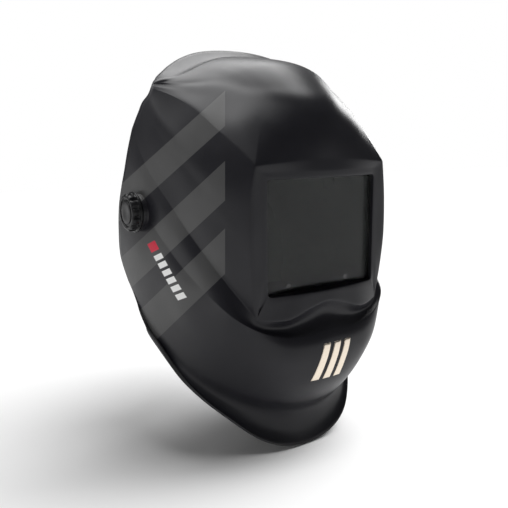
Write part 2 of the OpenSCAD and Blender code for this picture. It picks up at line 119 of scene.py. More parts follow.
def plastic(name, dark, light, rough=(0.35, 0.5), grain=1400, depth=0.00004, strength=0.25, coat=0.0, ior=1.5):
    """Moulded plastic: faint cloudy colour, uneven sheen, fine moulded grain."""
    m, nt, p = material(name)
    v = coords(nt)
    nt.links.new(mix_col(nt, remap(nt, noise_fac(nt, v, 60, 4), 0, 1), dark, light), p.inputs["Base Color"])
    nt.links.new(remap(nt, noise_fac(nt, v, 140, 5, 0.6), rough[0], rough[1]), p.inputs["Roughness"])
    p.inputs["IOR"].default_value = ior
    p.inputs["Coat Weight"].default_value = coat
    p.inputs["Coat Roughness"].default_value = 0.12
    bump(nt, p, noise_fac(nt, v, grain, 2), strength, depth)
    return m


def metal(name, a, b, rough=(0.2, 0.38), streak=(1, 1, 40), scale=60, depth=0.00002):
    m, nt, p = material(name)
    v = coords(nt)
    mp = node(nt, "ShaderNodeMapping", {"Vector": v, "Scale": streak})
    f = noise_fac(nt, mp.outputs["Vector"], scale, 5, 0.65)
    nt.links.new(mix_col(nt, remap(nt, f, 0, 1), a, b), p.inputs["Base Color"])
    nt.links.new(remap(nt, f, rough[0], rough[1]), p.inputs["Roughness"])
    p.inputs["Metallic"].default_value = 1.0
    bump(nt, p, f, 0.2, depth)
    return m


def cloth(name, a, b, pitch=1300, rough=0.85):
    """Knitted foam cover: crossed yarns, fuzz and a soft sheen."""
    m, nt, p = material(name)
    v = coords(nt)
    w1 = node(nt, "ShaderNodeTexWave", {"Vector": v, "Scale": pitch / 6.3, "Distortion": 0.6, "Detail": 1.0}, wave_type="BANDS", bands_direction="DIAGONAL").outputs["Fac"]
    w2 = node(nt, "ShaderNodeTexWave", {"Vector": v, "Scale": pitch / 6.3, "Distortion": 0.6, "Detail": 1.0}, wave_type="BANDS", bands_direction="Z").outputs["Fac"]
    weave = math_node(nt, "MULTIPLY", w1, w2)
    fuzz = noise_fac(nt, v, 2600, 3, 0.7)
    nt.links.new(mix_col(nt, math_node(nt, "MULTIPLY_ADD", weave, 0.8, math_node(nt, "MULTIPLY", fuzz, 0.25), clamp=True), a, b), p.inputs["Base Color"])
    nt.links.new(remap(nt, fuzz, rough - 0.08, min(1.0, rough + 0.1)), p.inputs["Roughness"])
    p.inputs["Sheen Weight"].default_value = 0.35
    p.inputs["Sheen Roughness"].default_value = 0.45
    bump(nt, p, math_node(nt, "MULTIPLY_ADD", fuzz, 0.35, weave), 0.6, 0.00025)
    return m


def glass_dark(name, a, b, rough=(0.03, 0.06), ior=1.6, coat=0.5):
    m, nt, p = material(name)
    v = coords(nt)
    nt.links.new(mix_col(nt, remap(nt, noise_fac(nt, v, 18, 2), 0, 1), a, b), p.inputs["Base Color"])
    nt.links.new(remap(nt, noise_fac(nt, v, 20, 2), rough[0], rough[1]), p.inputs["Roughness"])
    p.inputs["IOR"].default_value = ior
    p.inputs["Coat Weight"].default_value = coat
    p.inputs["Coat Roughness"].default_value = 0.03
    return m


def clear(name, tint, ior=1.49):
    m, nt, p = material(name)
    v = coords(nt)
    nt.links.new(mix_col(nt, remap(nt, noise_fac(nt, v, 30, 2), 0, 1), tint, tuple(min(1.0, t * 1.04) for t in tint)), p.inputs["Base Color"])
    nt.links.new(remap(nt, noise_fac(nt, v, 14, 2), 0.0, 0.006), p.inputs["Roughness"])
    p.inputs["Transmission Weight"].default_value = 1.0
    p.inputs["IOR"].default_value = ior
    return m


def film(name, a, b, alpha):
    """Thin clear plate seen straight through, with only a faint tint and gloss of its own."""
    m, nt, p = material(name)
    v = coords(nt)
    nt.links.new(mix_col(nt, remap(nt, noise_fac(nt, v, 30, 2), 0, 1), a, b), p.inputs["Base Color"])
    nt.links.new(remap(nt, noise_fac(nt, v, 14, 2), 0.03, 0.06), p.inputs["Roughness"])
    p.inputs["IOR"].default_value = 1.49
    p.inputs["Alpha"].default_value = alpha
    return m


# The cheek print is laid on from a fixed point off the wearer's right front corner; the other cheek mirrors it.
PRINT_AT = (-0.3100, -0.4972, 0.0263)
PRINT_X = (0.831291, -0.553712, -0.048559)
PRINT_Y = (0.111625, 0.080723, 0.990466)
PRINT_Z = (0.544514, 0.828786, -0.128912)


def shell_material():
    """Satin black shell with tonal slanted stripes on each cheek and a plain row of leaning bars."""
    m, nt, p = material("shell_satin_black")
    v = coords(nt)
    sep = node(nt, "ShaderNodeSeparateXYZ", {"Vector": v})
    x, y, z = sep.outputs["X"], sep.outputs["Y"], sep.outputs["Z"]
    ax = math_node(nt, "ABSOLUTE", x)
    nx = math_node(nt, "MULTIPLY", ax, -1.0)

    def plane(n):
        """Dot product of a direction with the point seen from PRINT_AT."""
        c = -sum(a*b for a, b in zip(n, PRINT_AT))
        return math_node(nt, "MULTIPLY_ADD", z, n[2], math_node(nt, "MULTIPLY_ADD", y, n[1], math_node(nt, "MULTIPLY_ADD", nx, n[0], c)))

    far = plane(PRINT_Z)
    U = math_node(nt, "DIVIDE", plane(PRINT_X), far)        # print coordinates: U forwards, W upwards
    W = math_node(nt, "DIVIDE", plane(PRINT_Y), far)

    def step(a, edge, up=True, soft=0.0004):
        return node(nt, "ShaderNodeMapRange", {"Value": a, "From Min": edge - soft, "From Max": edge + soft,
                    "To Min": 0.0 if up else 1.0, "To Max": 1.0 if up else 0.0}).outputs["Result"]

    def below(slope, c):
        """1 where the point is under the line W = slope U + c."""
        return step(math_node(nt, "MULTIPLY_ADD", U, -slope, W), c, False)

    def band(a, lo, hi):
        return math_node(nt, "MULTIPLY", step(a, lo), step(a, hi, False))

    def both(a, b):
        return math_node(nt, "MULTIPLY", a, b)

    def either(a, b):
        return math_node(nt, "MAXIMUM", a, b)

    def no(a):
        return math_node(nt, "SUBTRACT", 1.0, a)

    # three plain slanted bands, as slope and height in print coordinates, all stopping at one upright front edge
    bands = [((0.90, 0.3157), (0.90, 0.2569)), ((0.93, 0.2001), (0.93, 0.1341)), ((0.96, 0.0891), (0.96, 0.0133))]
    runs = [both(below(*top), no(below(*foot))) for top, foot in bands]
    mask = both(either(runs[0], either(runs[1], runs[2])), step(U, -0.0483, False))
    # generic bars: one red and a run of light ones, along a falling line behind the cheek
    ty = math_node(nt, "ADD", y, 0.018)
    tz = math_node(nt, "ADD", z, 0.0262)
    t = math_node(nt, "ADD", math_node(nt, "MULTIPLY", ty, -0.683), math_node(nt, "MULTIPLY", tz, -0.731))
    w = math_node(nt, "ADD", math_node(nt, "MULTIPLY", ty, 0.731), math_node(nt, "MULTIPLY", tz, -0.683))
    lean = math_node(nt, "MULTIPLY_ADD", w, 0.45, t)
    cell = math_node(nt, "FRACT", math_node(nt, "DIVIDE", math_node(nt, "SUBTRACT", lean, 0.0135), 0.0084))
    bars = both(both(band(lean, 0.0135, 0.0135 + 6 * 0.0084 - 0.0004), step(cell, 0.66, False, 0.02)), band(w, -0.0056, 0.0056))
    red = both(band(lean, 0.0, 0.0095), band(w, -0.0056, 0.0056))
    side = step(ax, 0.070)
    bars, red = both(bars, side), both(red, side)

    cloud = remap(nt, noise_fac(nt, v, 24, 4), 0, 1)
    base = mix_col(nt, cloud, (0.0100, 0.0098, 0.0128), (0.0132, 0.0130, 0.0165))
    grey = mix_col(nt, cloud, (0.058, 0.058, 0.0585), (0.068, 0.068, 0.0685))
    col = mix_col(nt, mask, base, grey)
    col = mix_col(nt, bars, col, (0.86, 0.86, 0.85))
    col = mix_col(nt, red, col, (0.62, 0.012, 0.045))
    nt.links.new(col, p.inputs["Base Color"])
    haze = remap(nt, noise_fac(nt, v, 45, 6, 0.62), 0.33, 0.40)
    fine = remap(nt, noise_fac(nt, v, 900, 3), -0.015, 0.015)
    nt.links.new(math_node(nt, "ADD", math_node(nt, "ADD", haze, fine), math_node(nt, "MULTIPLY", mask, 0.04)), p.inputs["Roughness"])
    p.inputs["IOR"].default_value = 1.34
    bump(nt, p, noise_fac(nt, v, 1500, 3), 0.14, 0.00003)
    return m


M = {
    "shell": shell_material(),
    "shell_in": plastic("shell_inside_black", (0.012, 0.012, 0.013), (0.018, 0.018, 0.02), (0.5, 0.62), 1300, 0.00006, 0.4),
    "badge": metal("champagne_metal", (0.78, 0.68, 0.56), (0.88, 0.79, 0.67), (0.28, 0.42)),
    "cover": film("clear_cover", (0.02, 0.022, 0.021), (0.035, 0.038, 0.036), 0.14),
    "inner": clear("clear_inner", (0.94, 0.96, 0.97)),
    "gasket": plastic("rubber_gasket", (0.012, 0.012, 0.012), (0.02, 0.02, 0.02), (0.6, 0.75), 1800, 0.00005, 0.4),
    "case": plastic("case_black", (0.012, 0.012, 0.013), (0.019, 0.019, 0.02), (0.42, 0.55), 1600, 0.00005, 0.35),
    "filter": glass_dark("filter_green", (0.006, 0.0080, 0.0075), (0.008, 0.0108, 0.0100), (0.03, 0.05), 1.34, 0.0),
    "lcd": glass_dark("lcd_dark", (0.006, 0.008, 0.009), (0.010, 0.012, 0.013)),
    "solar": glass_dark("solar_cell_dark", (0.0045, 0.004, 0.007), (0.008, 0.007, 0.011), (0.12, 0.2), 1.35, 0.0),
    "sensor": glass_dark("sensor_lens", (0.004, 0.003, 0.006), (0.012, 0.010, 0.016), (0.05, 0.1), 1.6, 1.0),
    "board": plastic("board_green", (0.01, 0.07, 0.03), (0.015, 0.10, 0.045), (0.35, 0.5), 800, 0.00005, 0.3),
    "dial": plastic("dial_grey", (0.05, 0.05, 0.055), (0.075, 0.075, 0.08), (0.4, 0.55), 1500, 0.00004, 0.3),
    "button": plastic("button_red", (0.35, 0.02, 0.015), (0.5, 0.035, 0.02), (0.35, 0.5), 1500, 0.00003, 0.25),
    "switch": plastic("switch_grey", (0.35, 0.35, 0.36), (0.45, 0.45, 0.46), (0.4, 0.5), 1500, 0.00003, 0.25),
    "steel": metal("steel_bright", (0.55, 0.56, 0.58), (0.72, 0.73, 0.75), (0.15, 0.32)),
    "band": plastic("band_black", (0.018, 0.018, 0.019), (0.028, 0.028, 0.03), (0.42, 0.6), 1100, 0.00006, 0.35),
    "cloth": cloth("sweat_cloth", (0.018, 0.018, 0.020), (0.075, 0.075, 0.082)),
    "thread": cloth("stitch_thread", (0.10, 0.10, 0.105), (0.22, 0.22, 0.23), 3000, 0.8),
    "knob": plastic("knob_gloss_black", (0.007, 0.007, 0.008), (0.012, 0.012, 0.013), (0.30, 0.42), 900, 0.00003, 0.15, 0.0, 1.3),
    "brass": metal("brass_insert", (0.70, 0.50, 0.22), (0.86, 0.66, 0.34), (0.2, 0.4)),
    "fibre": plastic("fibre_washer", (0.10, 0.065, 0.045), (0.17, 0.12, 0.085), (0.7, 0.85), 1500, 0.0001, 0.6),
    "rack": plastic("rack_white", (0.60, 0.59, 0.56), (0.70, 0.69, 0.66), (0.35, 0.5), 1200, 0.00003, 0.25),
}

# ------------------------------------------------------------------ helpers
def add_mesh(name, verts, faces, mat, body, smooth=True, sharp=40.0, normals=True, extra=(), index=None):
    me = bpy.data.meshes.new(name)
    me.from_pydata([tuple(map(float, v)) for v in verts], [], [tuple(map(int, f)) for f in faces])
    me.materials.append(mat)
    for m in extra:
        me.materials.append(m)
    if index is not None:
        me.polygons.foreach_set("material_index", index)
    if normals:
        bm = bmesh.new()
        bm.from_mesh(me)
        bmesh.ops.remove_doubles(bm, verts=bm.verts, dist=1e-6)
        bmesh.ops.recalc_face_normals(bm, faces=bm.faces)
        bm.to_mesh(me)
        bm.free()
    if smooth:
        me.shade_smooth()
        me.set_sharp_from_angle(angle=math.radians(sharp))
    ob = bpy.data.objects.new(name, me)
    bpy.context.scene.collection.objects.link(ob)
    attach(ob, body)
    return ob


def dress(names, mat, bevel=0.3, segments=2, angle=32.0):
    """Gives CAD nodes their finish and softens their moulded edges."""
    for n in names if isinstance(names, (list, tuple)) else [names]:
        ob = NODES[n]
        if not ob.material_slots:
            ob.data.materials.append(mat)
        for sl in ob.material_slots:
            sl.material = mat
        if bevel:
            b = ob.modifiers.new("edge", "BEVEL")
            b.width = bevel * MM
            b.segments = segments
            b.limit_method = "ANGLE"
            b.angle_limit = math.radians(angle)
            b.use_clamp_overlap = True
            b.harden_normals = True


# ------------------------------------------------------------------ shell skin
ROWS = [
 [[[0,-7,142.5],[22,-7,141.5],[42,-8,138],[59,-11,131.5],[72,-15,124],[81,-18.5,117.5],[87,-21.5,113],[90,-24,110],[92,-25,108.2]],0],
 [[[0,-23,131.5],[22,-24,130.5],[41,-26,127],[57,-29.5,121],[70,-32,115.5],[80,-33.5,111.5],[86.5,-33,109.5],[90.4,-29,108.4],[92.5,-25.4,107.4]],0],
 [[[0,-40,131],[21,-41,130],[38,-42,127],[52,-43,121.5],[64,-44,114.5],[75,-42,109.5],[83.5,-38,106.8],[89.5,-32,106.5],[93,-25.8,106.7]],0],
 [[[0,-86,117],[19,-85,116],[33,-82.5,113],[43,-78.5,109.5],[52,-72,106.5],[62,-63,105],[73,-52,104],[83.5,-41,104],[93.4,-26.1,106]],0],
 [[[0,-118,92],[16,-115.5,92.3],[29,-109.5,92.5],[38,-101.5,93.5],[47,-91,95.5],[59,-77,98],[71,-61.5,99.3],[83.5,-44,101.3],[93.8,-26.3,105.2]],0],
 [[[0,-130,76],[16,-127.5,77],[29,-120.5,79.3],[40,-111,82.5],[50,-100,85.8],[61.5,-85,88.7],[73.5,-67,92],[84.5,-46,98.8],[94.2,-26.4,104.4]],0],
 [[[0,-136,57],[20,-134,57],[38,-129,59.3],[51,-120,63.5],[61.5,-109,67],[70,-93,72.3],[78,-72.5,83.4],[85.3,-49,95.2],[94.6,-26.4,103.6]],0],
 [[[0,-137.5,37],[22,-137,36.5],[44,-135,35],[64.8,-131.5,33.4],[69.5,-116,47.5],[74.5,-98,61.5],[79.5,-76,78],[85.7,-52,92],[95,-26.2,102.8]],1],
 [[[0,-137,10],[20,-136,10],[39,-133.5,9.5],[68.4,-129,9],[79,-107,24],[86,-86,42],[90.2,-66,60],[94,-42,78],[96.5,-22.5,97.5]],1],
 [[[0,-135,-17],[20,-134,-17],[39,-131.5,-17],[69,-127.6,-17],[80.5,-104,4],[88,-80,25],[92.5,-60,43],[96,-36,64],[98.5,-14,92]],1],
 [[[0,-134,-36],[20,-133,-36],[39,-130.5,-36],[68.5,-126,-36],[80.2,-102,-11],[88.6,-77,13],[93.3,-55,32],[97,-32,54],[99.7,-9,86]],1],
 [[[0,-132.5,-60],[20,-131.5,-60],[39,-129,-60],[66.3,-123,-60],[79.5,-99.5,-32],[88.8,-72,-3],[93.8,-49,20],[97.8,-26,43],[101,-3,79]],1],
 [[[0,-132,-75.8],[18,-131,-79.7],[39,-129,-86.3],[62.3,-120.3,-83.5],[76.5,-98,-54],[88.2,-67,-18],[94.3,-44.5,8],[98.8,-19,34],[102,3,72]],1],
 [[[0,-126,-87],[20,-125,-91.5],[41,-122.5,-94],[64.5,-117.5,-87.5],[80.5,-102,-64.5],[91.2,-67.5,-32],[96.8,-40.5,-5],[101,-13,24],[103.3,13,55]],0],
 [[[0,-133,-99],[22,-131.7,-101],[44,-128,-99.5],[66.3,-121,-90.3],[82.6,-106,-75.5],[92,-65,-49],[97.3,-36.5,-25],[101.8,-2,6],[104.2,23,36]],0],
 [[[0,-136.3,-109],[23,-134.8,-110.5],[45.5,-130,-108.5],[66.7,-119.3,-98.5],[82.5,-99.5,-84],[93.8,-65,-62],[99.3,-32.5,-38],[103,4,-8],[105.3,38,8]],0],
 [[[0,-135.3,-124],[23,-133.5,-124],[46,-128,-121],[66.3,-114.2,-112],[82,-91,-99],[94,-61,-82],[100,-29,-60],[104.3,7,-34],[105.7,44,-18]],0],
 [[[0,-128.5,-144],[23,-126,-143],[44,-118,-139],[64,-102,-131],[80,-80,-119],[92,-53,-103],[99.5,-24,-83],[104,8,-58],[105.3,45.5,-42]],0],
 [[[0,-113,-163],[23,-111,-161],[44,-103,-156],[63,-88,-147],[79,-68,-135],[91,-44,-120],[99,-17,-101],[103.2,9,-80],[104.2,36,-62]],0],
 [[[0,-97,-177],[23,-95,-175],[44,-88,-169],[62,-75,-160],[78,-57,-147],[90,-38,-132],[98,-13,-112],[102.5,9,-93],[103.5,28,-72]],0],
 [[[0,-93,-193],[25,-92,-190],[47,-86,-182],[65,-73,-169],[80,-55,-154],[91,-37,-138],[98,-13,-118],[102,7,-99],[103.2,24,-77]],0],
 [[[0,-97,-209],[26,-97,-204],[48,-91.5,-192.5],[66,-78,-176],[80.5,-60.5,-160],[91,-42,-142],[97.5,-20,-120],[100.7,0,-104],[103,22,-80]],0]
]
ROW_BREAKS = [7, 12, 14]


def isb(i, n, B):
    return i == 0 or i == n - 1 or i in B


def ctan(P, i):
    return (P[i + 1] - P[i - 1]) / 2


def tright(P, i, B):
    n = len(P)
    if not isb(i, n, B):
        return ctan(P, i)
    return P[i + 1] - P[i] if isb(i + 1, n, B) else 1.5 * (P[i + 1] - P[i]) - 0.5 * ctan(P, i + 1)


def tleft(P, i, B):
    n = len(P)
    if not isb(i, n, B):
        return ctan(P, i)
    return P[i] - P[i - 1] if isb(i - 1, n, B) else 1.5 * (P[i] - P[i - 1]) - 0.5 * ctan(P, i - 1)


def herm(p, q, u, v, t):
    return (2*t**3 - 3*t**2 + 1)*p + (t**3 - 2*t**2 + t)*u + (3*t**2 - 2*t**3)*q + (t**3 - t**2)*v


def across(r, s):
    P, B = np.array(ROWS[r][0], float), [3] if ROWS[r][1] else []
    k = min(int(s), 7)
    u = np.array([P[1][0] - P[0][0], 0, 0]) if k == 0 else tright(P, k, B)
    return herm(P[k], P[k+1], u, tleft(P, k+1, B), s - k)


US = list(np.linspace(0, 2.88, 18)) + [2.94, 3.0, 3.05, 3.12] + list(np.linspace(3.12, 8, 38))[1:]
VS = []
for i, n in enumerate([6, 6, 12, 13, 9, 8, 8, 9, 9, 7, 8, 7, 6, 6, 5, 7, 8, 8, 7, 6, 6]):
    VS += [i + k / n for k in range(n)]
VS.append(21.0)
for b in ROW_BREAKS:
    near = [b - 0.12, b - 0.05, b, b + 0.05, b + 0.12]
    VS = [v for v in VS if min(abs(v - q) for q in near) > 0.045] + near
VS = sorted(VS)
C = np.array([[across(r, s) for s in US] for r in range(22)])
G0 = np.zeros((len(VS), len(US), 3))
for iv, v in enumerate(VS):
    k = min(int(v + 1e-9), 20)
    G0[iv] = herm(C[k], C[k+1], tright(C, k, ROW_BREAKS), tleft(C, k+1, ROW_BREAKS), v - k)
iv_of = {b: min(range(len(VS)), key=lambda i: abs(VS[i] - b)) for b in (7, 12, 14)}
J3 = min(range(len(US)), key=lambda j: abs(US[j] - 3.0))
I7, I12, I14 = iv_of[7], iv_of[12], iv_of[14]
nu, nv = len(US), len(VS)
nf = 2 * nu - 1


def full(g):
    return np.concatenate([g[:, :0:-1] * np.array([-1, 1, 1]), g], axis=1)


G = G0.copy()
for b in (I7, I12):
    G[b, J3+1:] = 0.5 * G0[b, J3+1:] + 0.25 * (G0[b-1, J3+1:] + G0[b+1, J3+1:])
G[I14] = 0.5 * G0[I14] + 0.25 * (G0[I14-1] + G0[I14+1])

# window axes: x, depth y behind the opening, height z
WO = np.array([0.0, -125.85, -21.85])
WC, WS = math.cos(math.radians(4)), math.sin(math.radians(4))


def to_win(P):
    d = np.asarray(P) - WO
    return np.stack([d[..., 0], WC*d[..., 1] + WS*d[..., 2], -WS*d[..., 1] + WC*d[..., 2]], -1)


def from_win(p):
    p = np.asarray(p, float)
    return np.stack([p[..., 0], WC*p[..., 1] - WS*p[..., 2], WS*p[..., 1] + WC*p[..., 2]], -1) + WO


# half loop round the window: top middle, corner, down the side, corner, bottom middle
LOOP = [(I7, j) for j in range(J3+1)] + [(i, J3) for i in range(I7+1, I12+1)] + [(I12, j) for j in range(J3-1, -1, -1)]
PO = to_win(np.array([G0[i, j] for i, j in LOOP]))
kc1, kc2 = J3, J3 + (I12 - I7)
arc = np.concatenate([[0], np.cumsum(np.linalg.norm(np.diff(PO, axis=0), axis=1))])
last = len(LOOP) - 1


def frac(k, a, b):
    return (arc[k] - arc[a]) / (arc[b] - arc[a])


def rr(k, hx, ht, hb, r):
    """Point k of a rounded rectangle matched to the loop."""
    a1, b1, a2, b2 = kc1 - 2, kc1 + 2, kc2 - 2, kc2 + 2
    if k <= a1:
        return np.array([(hx - r) * frac(k, 0, a1), ht])
    if k < b1:
        t = math.radians(90 - 22.5 * (k - a1))
        return np.array([hx - r + r*math.cos(t), ht - r + r*math.sin(t)])
    if k <= a2:
        return np.array([hx, (ht - r) + (-(hb - r) - (ht - r)) * frac(k, b1, a2)])
    if k < b2:
        t = math.radians(-22.5 * (k - a2))
        return np.array([hx - r + r*math.cos(t), -(hb - r) + r*math.sin(t)])
    return np.array([(hx - r) * (1 - frac(k, b2, last)), -hb])


def yfront(x):
    return -8.9 + x*x/430.0


def sstep(t):
    t = min(1.0, max(0.0, t))
    return t*t*(3 - 2*t)


def ring_point(k):
    """Stations from the outer crease into the opening and round the pocket, in window axes."""
    po = PO[k]
    e = rr(k, 55.0, 45.8, 45.8, 3.8)
    pe = np.array([e[0], yfront(e[0]), e[1]])
    if k < kc2 - 1:
        q = rr(k, 60.0, 50.5, 60.0, 4.0)
        drop = sstep((-34 - q[1]) / 30.0)
        pm = np.array([q[0] + 0.3*drop, (yfront(q[0]) if abs(q[0]) < 55 else yfront(55) + 0.07*(q[0] - 55)) + 3.6*drop, q[1]])
        soft = 1.0
    else:
        s = 0 if k <= kc2 + 2 else frac(k, kc2 + 2, last)
        f = 0.90 - 0.35 * sstep(s / 0.3)
        pm = pe + (po - pe) * f
        soft = 0.0
    L1, L2 = max(np.linalg.norm(pm - po), 1e-6), max(np.linalg.norm(pe - pm), 1e-6)
    t1, t2 = min(0.25, 1.1 / L1), min(0.25, 1.0 / L2)
    s1 = po + (pm - po) * t1
    s4 = pm + (po - pm) * min(0.3, 1.0 / L1)
    s6 = pm + (pe - pm) * t2
    st = [s1, po + (pm - po) * 0.42, po + (pm - po) * 0.7, s4, 0.5*pm + 0.25*(s4 + s6), s6, pm + (pe - pm) * 0.6, pe]
    for hx, hz, r, dy in ((54.43, 45.23, 3.23, 0.22), (54.2, 45.0, 3.0, 0.8)):
        q = rr(k, hx, hz, hz, r)
        st.append(np.array([q[0], yfront(q[0]) + dy, q[1]]))
    for hx, hz, r, yy in ((54.2, 45, 3, 0.6), (54.2, 45, 3, 1.4), (57.4, 49.7, 2.4, 1.4), (57.4, 49.7, 2.4, 7.9), (57.8, 50.1, 2.6, 8.3), (59.1, 51.1, 2.9, 8.3), (59.5, 51.5, 3, 7.9)):
        q = rr(k, hx, hz, hz, r)
        st.append(np.array([q[0], yy, q[1]]))
    q = rr(k, 59.5, 51.5, 51.5, 3)
    yin = (yfront(q[0]) if abs(q[0]) < 55 else yfront(55) + 0.3) + 4.6
    st.append(np.array([q[0], yin + 1.2, q[1]]))
    q = rr(k, 60.4, 52.4, 52.4, 3.9)
    st.append(np.array([q[0], yin + 0.2, q[1]]))
    return st


RING = [ring_point(k) for k in range(len(LOOP))]
# round the crease itself: between the outer skin and the first station of the ring
for k, (i, j) in enumerate(LOOP):
    ins = from_win(RING[k][0])
    if k < kc1:
        outn = G0[i-1, j]
    elif k == kc1:
        outn = 0.5*(G0[i-1, j] + G0[i, j+1])
    elif k < kc2:
        outn = G0[i, j+1]
    elif k == kc2:
        outn = 0.5*(G0[i+1, j] + G0[i, j+1])
    else:
        outn = G0[i+1, j]
    G[i, j] = 0.5*G0[i, j] + 0.25*(ins + outn)

F = full(G)
Fs = full(G0)
du = np.gradient(Fs, axis=1)
dv = np.gradient(Fs, axis=0)
N = np.cross(du, dv)
N /= np.linalg.norm(N, axis=2, keepdims=True) + 1e-12
for _ in range(14):
    Q = np.pad(N, ((1, 1), (1, 1), (0, 0)), mode="edge")
    N = (Q[1:-1, 1:-1]*2 + Q[:-2, 1:-1] + Q[2:, 1:-1] + Q[1:-1, :-2] + Q[1:-1, 2:]) / 6
    N /= np.linalg.norm(N, axis=2, keepdims=True)
INNER = F + 3.0 * N

verts, faces, vid, inside = [], [], {}, []


def V(key, p):
    if key not in vid:
        vid[key] = len(verts)
        verts.append(np.asarray(p, float) * MM)
    return vid[key]


def O(i, c):
    return V(("o", i, c), F[i, c])


def I(i, c):
    return V(("i", i, c), INNER[i, c])


cL, cR = nu - 1 - J3, nu - 1 + J3
for i in range(nv - 1):
    for c in range(nf - 1):
        if I7 <= i < I12 and cL <= c < cR:
            continue
        faces.append((O(i, c), O(i, c+1), O(i+1, c+1), O(i+1, c)))
        faces.append((I(i, c), I(i+1, c), I(i+1, c+1), I(i, c+1)))
        inside += [0, 1]
ns = len(RING[0])
order = [(k, 1) for k in range(len(LOOP))] + [(k, -1) for k in range(len(LOOP)-2, 0, -1)]


def ring_vert(k, sg, s):
    i, j = LOOP[k]
    if s == 0:
        return O(i, nu - 1 + sg*j)
    if s == ns + 1:
        return I(i, nu - 1 + sg*j)
    p = from_win(RING[k][s-1])
    return V(("r", k, sg, s), p * np.array([sg, 1, 1]))


for a in range(len(order)):
    b = (a + 1) % len(order)
    for s in range(ns + 1):
        faces.append((ring_vert(*order[a], s), ring_vert(*order[b], s), ring_vert(*order[b], s+1), ring_vert(*order[a], s+1)))
        inside.append(0 if s < 11 else 1)
# free rim: rounded over between the two skins
rim = [(0, c) for c in range(nf)] + [(i, nf-1) for i in range(1, nv)] + [(nv-1, c) for c in range(nf-2, -1, -1)] + [(i, 0) for i in range(nv-2, 0, -1)]


def rim_dir(i, c):
    d = np.zeros(3)
    if i == 0: d += F[0, c] - F[1, c]
    if i == nv-1: d += F[nv-1, c] - F[nv-2, c]
    if c == 0: d += F[i, 0] - F[i, 1]
    if c == nf-1: d += F[i, nf-1] - F[i, nf-2]
    return d / np.linalg.norm(d)


def rim_vert(i, c, s):
    if s == 0: return O(i, c)
    if s == 4: return I(i, c)
    w = (0.2, 0.5, 0.8)[s-1]
    return V(("m", i, c, s), F[i, c]*(1-w) + INNER[i, c]*w + rim_dir(i, c) * (0.75, 1.0, 0.75)[s-1])


for a in range(len(rim)):
    b = (a + 1) % len(rim)
    for s in range(4):
        faces.append((rim_vert(*rim[a], s), rim_vert(*rim[b], s), rim_vert(*rim[b], s+1), rim_vert(*rim[a], s+1)))
        inside.append(1)
shell = add_mesh("shell_skin", verts, faces, M["shell"], "shell", sharp=48, extra=[M["shell_in"]], index=inside)
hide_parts("shell")
SHELL_BVH = BVHTree.FromPolygons([tuple(v.co) for v in shell.data.vertices], [tuple(p.vertices) for p in shell.data.polygons])


# ------------------------------------------------------------------ turned and fluted pieces
def lathe(name, profile, mat, body, centre, axis, n=144, flutes=12, sharp=40.0):
    """profile: (along the axis, radius, flute depth), mm. axis: unit vector; the start and end close on the axis."""
    ax = Vector(axis).normalized()
    up = Vector((0, 0, 1)) if abs(ax.z) < 0.9 else Vector((0, 1, 0))
    e1 = up.cross(ax).normalized()
    e2 = ax.cross(e1)
    vs, fs = [], []
    for h, r, d in profile:
        for k in range(n):
            th = 2*math.pi*k/n
            ph = (th*flutes/(2*math.pi)) % 1.0
            dist = abs(ph - 0.5)*2                       # 0 at the groove, 1 between grooves
            cutf = 0.5 + 0.5*math.cos(math.pi*min(1.0, dist/0.62))
            rad = r - d*cutf
            vs.append(Vector(centre) + ax*h*MM + (e1*math.cos(th) + e2*math.sin(th))*rad*MM)
    m = len(profile)
    for i in range(m-1):
        for k in range(n):
            k2 = (k+1) % n
            fs.append((i*n+k, i*n+k2, (i+1)*n+k2, (i+1)*n+k))
    a, b = len(vs), len(vs)+1
    vs += [Vector(centre) + ax*profile[0][0]*MM, Vector(centre) + ax*profile[-1][0]*MM]
    for k in range(n):
        fs.append((a, (k+1) % n, k))
        fs.append((b, (m-1)*n+k, (m-1)*n+(k+1) % n))
    return add_mesh(name, vs, fs, mat, body, sharp=sharp)


KNOB = [(111.6, 0.6, 0), (111.6, 7.3, 0), (111.4, 7.5, 0), (106.4, 7.5, 0), (106.1, 7.9, 0), (106.1, 17.2, 0), (106.2, 17.7, 0), (106.5, 18, 0), (107.4, 18, 0), (107.8, 17.8, 0),
        (108.0, 17.3, 0.2), (108.15, 16.8, 0.8), (108.5, 16.55, 1.3), (109.1, 16.5, 1.6), (110.3, 16.5, 1.7), (111.5, 16.5, 1.7), (112.6, 16.4, 1.5), (113.4, 16.1, 1.15), (114.0, 15.6, 0.75),
        (114.4, 14.9, 0.35), (114.58, 14.1, 0.08), (114.6, 13.4, 0), (114.5, 12.95, 0), (114.2, 12.8, 0), (113.7, 12.7, 0), (113.45, 12.3, 0), (113.4, 11.5, 0), (113.45, 10.7, 0), (113.7, 10.3, 0),
        (114.2, 10.2, 0), (114.5, 10.05, 0), (114.6, 9.6, 0), (114.6, 7, 0), (114.5, 4.5, 0), (114.4, 2.5, 0), (114.35, 0.6, 0)]
for sgn, nm in ((1, "left"), (-1, "right")):
    ob = lathe(f"side_knob_{nm}", KNOB, M["knob"], f"knob_{nm}", (0, 0, 0), (sgn, 0, 0))
    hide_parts(f"knob_{nm}")
RK = [(115.7, 0.6, 0), (115.7, 2.7, 0), (115.9, 3, 0), (123.3, 3, 0), (123.6, 3.5, 0), (123.6, 17.4, 0), (123.8, 18.3, 0.5), (124.3, 18.9, 1.1), (125.2, 19, 1.5), (128, 19, 1.6), (131, 19, 1.6),
      (133.5, 18.9, 1.45), (134.8, 18.5, 1.1), (135.5, 17.8, 0.7), (135.9, 16.8, 0.3), (136, 15.8, 0), (135.95, 14.5, 0), (135.5, 13.6, 0), (135.1, 12, 0), (134.9, 8, 0), (134.9, 4, 0), (134.9, 0.6, 0)]
